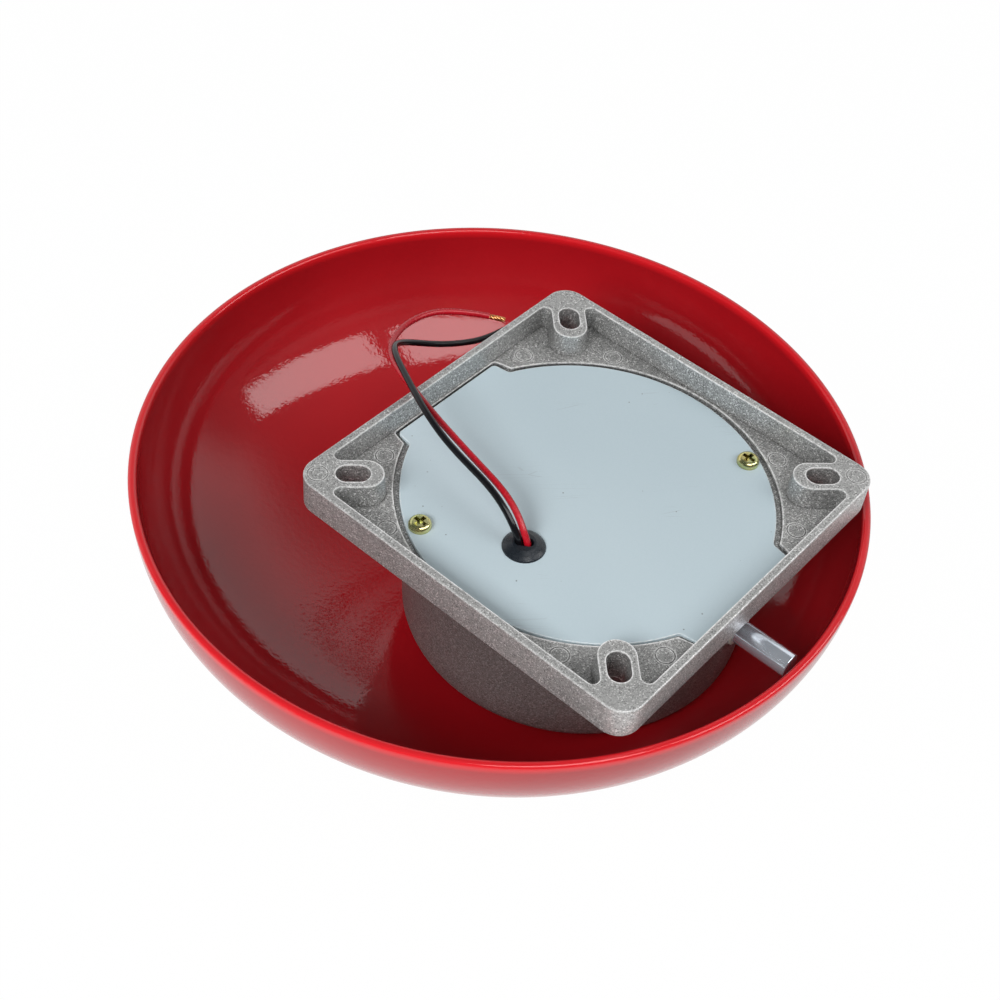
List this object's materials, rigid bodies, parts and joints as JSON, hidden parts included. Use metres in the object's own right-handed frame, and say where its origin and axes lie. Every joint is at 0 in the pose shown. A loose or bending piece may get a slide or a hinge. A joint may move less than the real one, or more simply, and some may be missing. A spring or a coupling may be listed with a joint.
{
  "type": "fire alarm bell",
  "caption": "Surface-mounted motor bell: shallow round red gong fixed off-centre on a square cast housing, with a spring-returned striker plunger at one side and two supply leads.",
  "frame": {"origin": "centre of the housing's square mounting face, in the plane of the face", "axes": "+Z out of the mounting face towards the wall, so the gong hangs towards -Z; the flange's diagonals and its four slots lie along X and Y; the striker points along (+X, -Y)"},
  "size_m": [0.2, 0.2, 0.0771],
  "materials": {
    "red_paint": "gloss red paint with a slight orange peel",
    "cast_aluminium": "bare die-cast, fine speckled grain",
    "cover_paint": "satin blue-grey paint",
    "yellow_zinc": "yellow passivated zinc",
    "black_rubber": "smooth black rubber",
    "red_pvc": "satin PVC",
    "black_pvc": "satin PVC",
    "copper": "bare twisted copper",
    "chrome": "bright chrome",
    "acetal_white": "natural acetal",
    "zinc_steel": "bright zinc plate",
    "stop_rubber": "matte rubber",
    "spring_steel": "blackened spring steel",
    "spring_wire": "bright wire",
    "screw_zinc": "bright zinc plate",
    "can_steel": "nickel-plated drawn steel",
    "cap_nylon": "white nylon",
    "ferrite": "dark ferrite",
    "bronze": "sintered bronze",
    "phosphor_bronze": "rolled strip",
    "carbon": "carbon graphite",
    "ground_steel": "ground steel",
    "lamination": "stacked laminations",
    "enamel_wire": "enamelled copper wire",
    "copper_bars": "copper segments",
    "brass_gear": "hobbed brass",
    "acetal_gear": "moulded natural acetal",
    "fibre": "vulcanised fibre",
    "board_laminate": "green solder mask",
    "capacitor_sleeve": "heat-shrunk sleeve",
    "epoxy_black": "moulded epoxy",
    "varistor_blue": "dipped epoxy",
    "wire_white": "thin PVC wire",
    "bolt_zinc": "bright zinc plate"
  },
  "bodies": {
    "housing": {"gong": "red_paint", "housing": "cast_aluminium", "back_cover": "cover_paint", "cover_screws": "yellow_zinc", "cable_grommet": "black_rubber", "lead_red": "red_pvc", "lead_black": "black_pvc", "lead_conductors": "copper", "outer_guide_bush": "acetal_white", "inner_guide_bush": "acetal_white", "striker_bracket": "zinc_steel", "rubber_stop": "stop_rubber", "return_spring": "spring_wire", "bracket_screws": "screw_zinc", "mechanism_plate": "zinc_steel", "plate_screws": "screw_zinc", "motor_can": "can_steel", "motor_end_cap": "cap_nylon", "motor_magnets": "ferrite", "motor_bearings": "bronze", "motor_terminals": "phosphor_bronze", "motor_brushes": "carbon", "motor_screws": "screw_zinc", "gear_axle": "ground_steel", "gear_washer": "fibre", "axle_clip": "spring_steel", "circuit_board": "board_laminate", "board_screws": "screw_zinc", "suppressor_capacitor": "capacitor_sleeve", "polarity_diode": "epoxy_black", "surge_varistor": "varistor_blue", "motor_wires": "wire_white", "gong_bolt": "bolt_zinc", "gong_washer": "bolt_zinc", "spring_washer": "spring_steel", "gong_seat": "fibre"},
    "striker": {"striker_rod": "chrome", "striker_clip": "spring_steel"},
    "rotor": {"motor_shaft": "ground_steel", "armature_core": "lamination", "armature_windings": "enamel_wire", "commutator": "copper_bars", "pinion": "brass_gear"},
    "cam": {"cam_gear": "acetal_gear"}
  },
  "joints": [
    {"name": "striker_slide", "type": "slide", "parent": "housing", "child": "striker", "axis": [0.7071, -0.7071, 0], "range_m": [0, 0.0014], "deforming": ["return_spring"]},
    {"name": "motor_spin", "type": "hinge", "parent": "housing", "child": "rotor", "pos_m": [-0.01174, 0.01174, -0.035], "axis": [0, 0, 1], "continuous": true},
    {"name": "cam_spin", "type": "hinge", "parent": "housing", "child": "cam", "pos_m": [0.00354, -0.00354, -0.02], "axis": [0, 0, 1], "continuous": true}
  ],
  "couplings": [
    {"joint": "cam_spin", "follows": "motor_spin", "ratio": -0.2}
  ]
}
